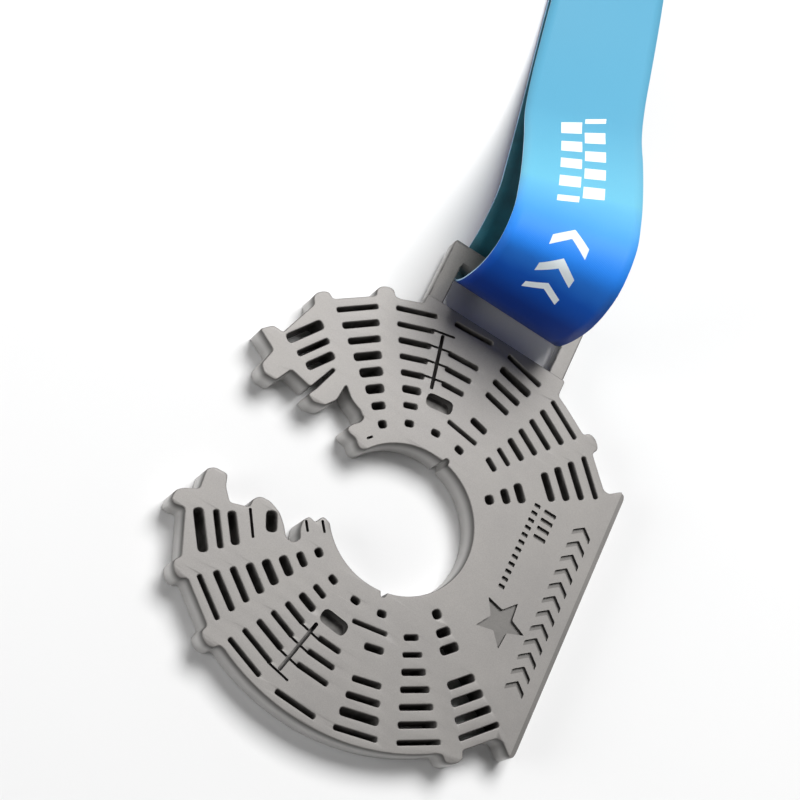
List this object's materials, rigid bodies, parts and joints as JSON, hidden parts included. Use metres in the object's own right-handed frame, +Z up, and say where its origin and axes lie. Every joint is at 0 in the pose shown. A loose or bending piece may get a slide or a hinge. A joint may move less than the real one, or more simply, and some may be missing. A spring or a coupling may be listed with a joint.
{
  "type": "sports finisher medal",
  "caption": "Pierced open-ring die-cast finisher medal with a flat engraved plate and a ribbon frame, on a folded blue satin neck ribbon.",
  "frame": {"origin": "middle of the footprint of the medal and its laid-out ribbon, on the surface that they lie on", "axes": "+Z up out of the medal's face, +Y from the medal towards the far end of the ribbon, +X from the open side of the ring towards its flat-sided plate"},
  "size_m": [0.0814, 0.29, 0.0379],
  "materials": {
    "cast_nickel": "sandblasted nickel plate, matte, on a zinc die casting",
    "satin_ribbon": "dye-sublimated polyester satin, glossy face, pale blue to navy"
  },
  "bodies": {
    "medal": {"medal_body": "cast_nickel"},
    "ribbon": {"ribbon_bar_turn": "satin_ribbon", "ribbon_front_run": "satin_ribbon", "ribbon_back_run": "satin_ribbon", "ribbon_front_folds": "satin_ribbon", "ribbon_back_folds": "satin_ribbon"}
  },
  "joints": [
    {"name": "ribbon_swing", "type": "hinge", "parent": "medal", "child": "ribbon", "pos_m": [0.00238, -0.04303, 0.0039], "axis": [1, 0, 0], "range_deg": [-135, 30]}
  ]
}
